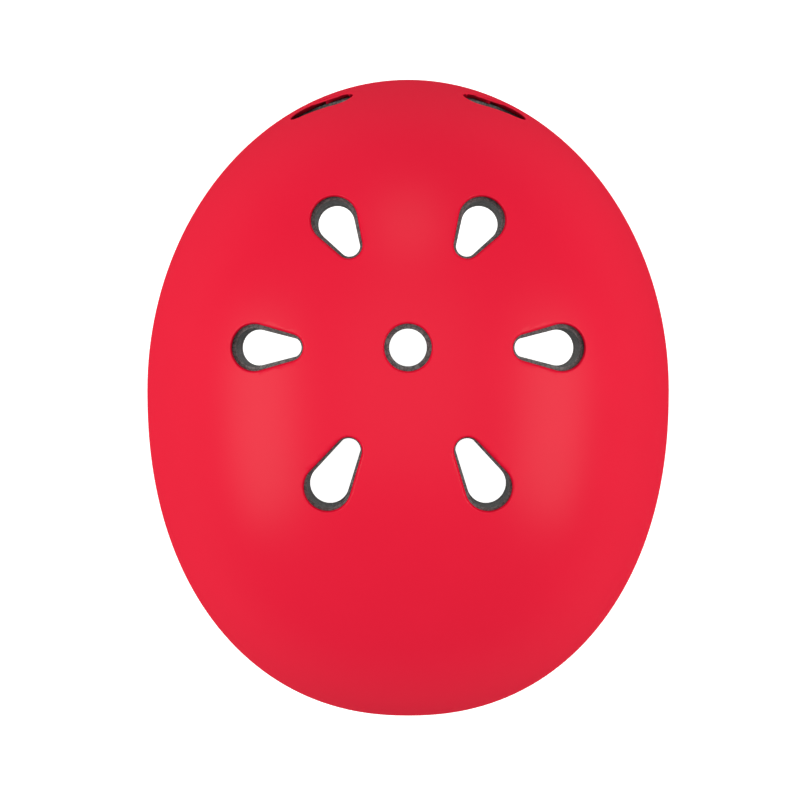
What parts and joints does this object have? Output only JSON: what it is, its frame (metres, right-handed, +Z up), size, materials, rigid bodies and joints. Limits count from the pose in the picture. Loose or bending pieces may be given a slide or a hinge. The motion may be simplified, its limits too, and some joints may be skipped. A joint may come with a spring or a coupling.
{
  "type": "scooter helmet",
  "caption": "Child's round hard-shell helmet with petal vents round a crown vent, foam liner, dial-adjusted cradle and buckled chin strap.",
  "frame": {"origin": "middle of the shell's plan at the height of its widest section, where the head sits", "axes": "+Z up through the crown, -Y towards the brow, +X towards the wearer's left"},
  "size_m": [0.205, 0.25, 0.2165],
  "materials": {
    "shell_red": "satin",
    "liner_foam": "matte",
    "black_rubber": "matte",
    "pad_fabric": "matte",
    "hook_tape": "matte",
    "pale_plastic": "satin",
    "black_plastic": "satin",
    "bright_steel": "satin",
    "webbing": "matte"
  },
  "bodies": {
    "helmet": {"outer_shell": "shell_red", "eps_liner": "liner_foam", "edge_trim": "black_rubber", "head_ring": "black_plastic", "brow_pin": "black_plastic", "temple_pins": "black_plastic", "brow_pad": "pad_fabric", "crown_pad_front": "pad_fabric", "crown_pad_rear": "pad_fabric", "side_pad_left": "pad_fabric", "side_pad_right": "pad_fabric", "hook_dots": "hook_tape", "strap_anchors": "black_plastic", "strap_front_left": "webbing", "strap_front_right": "webbing", "strap_rear_left": "webbing", "strap_rear_right": "webbing", "divider_left": "black_plastic", "divider_right": "black_plastic", "divider_pins": "bright_steel", "chin_strap_left": "webbing", "chin_strap_right": "webbing", "strap_tail": "webbing", "buckle_socket": "black_plastic", "chin_pad": "pad_fabric"},
    "cradle": {"side_arm_left": "black_plastic", "side_arm_right": "black_plastic", "dial_housing_inner": "black_plastic", "dial_housing_outer": "black_plastic", "housing_screws": "bright_steel", "click_ring": "pale_plastic", "cradle_pad": "pad_fabric"},
    "dial": {"pinion": "pale_plastic", "dial_knob": "black_plastic", "knob_screw": "bright_steel"},
    "rack_left": {"rack_left": "black_plastic"},
    "rack_right": {"rack_right": "black_plastic"},
    "lever_left": {"divider_lever_left": "black_plastic"},
    "lever_right": {"divider_lever_right": "black_plastic"},
    "keeper": {"strap_keeper": "black_rubber"},
    "plug": {"buckle_plug": "black_plastic", "buckle_prongs": "black_plastic"}
  },
  "joints": [
    {"name": "cradle_tilt", "type": "hinge", "parent": "helmet", "child": "cradle", "pos_m": [0, -0.02, -0.001], "axis": [1, 0, 0], "range_deg": [-5, 2], "deforming": ["side_arm_left", "side_arm_right"]},
    {"name": "dial_turn", "type": "hinge", "parent": "cradle", "child": "dial", "pos_m": [0, 0.088, -0.062], "axis": [0, -0.9781, 0.2079], "range_deg": [-90, 180]},
    {"name": "rack_left_slide", "type": "slide", "parent": "cradle", "child": "rack_left", "axis": [-1, 0, 0], "range_m": [-0.00635, 0.01265]},
    {"name": "rack_right_slide", "type": "slide", "parent": "cradle", "child": "rack_right", "axis": [1, 0, 0], "range_m": [-0.00635, 0.01265]},
    {"name": "divider_left_lever", "type": "hinge", "parent": "helmet", "child": "lever_left", "pos_m": [0.0742, 0.005, -0.07], "axis": [0, 1, 0], "range_deg": [0, 75]},
    {"name": "divider_right_lever", "type": "hinge", "parent": "helmet", "child": "lever_right", "pos_m": [-0.0742, 0.005, -0.07], "axis": [0, -1, 0], "range_deg": [0, 75]},
    {"name": "keeper_slide", "type": "slide", "parent": "helmet", "child": "keeper", "axis": [0.6796, 0, -0.7336], "range_m": [-0.008, 0.004]},
    {"name": "buckle_release", "type": "slide", "parent": "helmet", "child": "plug", "axis": [-1, 0, 0], "range_m": [0, 0.024], "deforming": ["buckle_prongs", "chin_strap_right", "strap_tail"]}
  ],
  "couplings": [
    {"joint": "rack_left_slide", "follows": "dial_turn", "m_per_rad": 0.004},
    {"joint": "rack_right_slide", "follows": "dial_turn", "m_per_rad": 0.004}
  ]
}
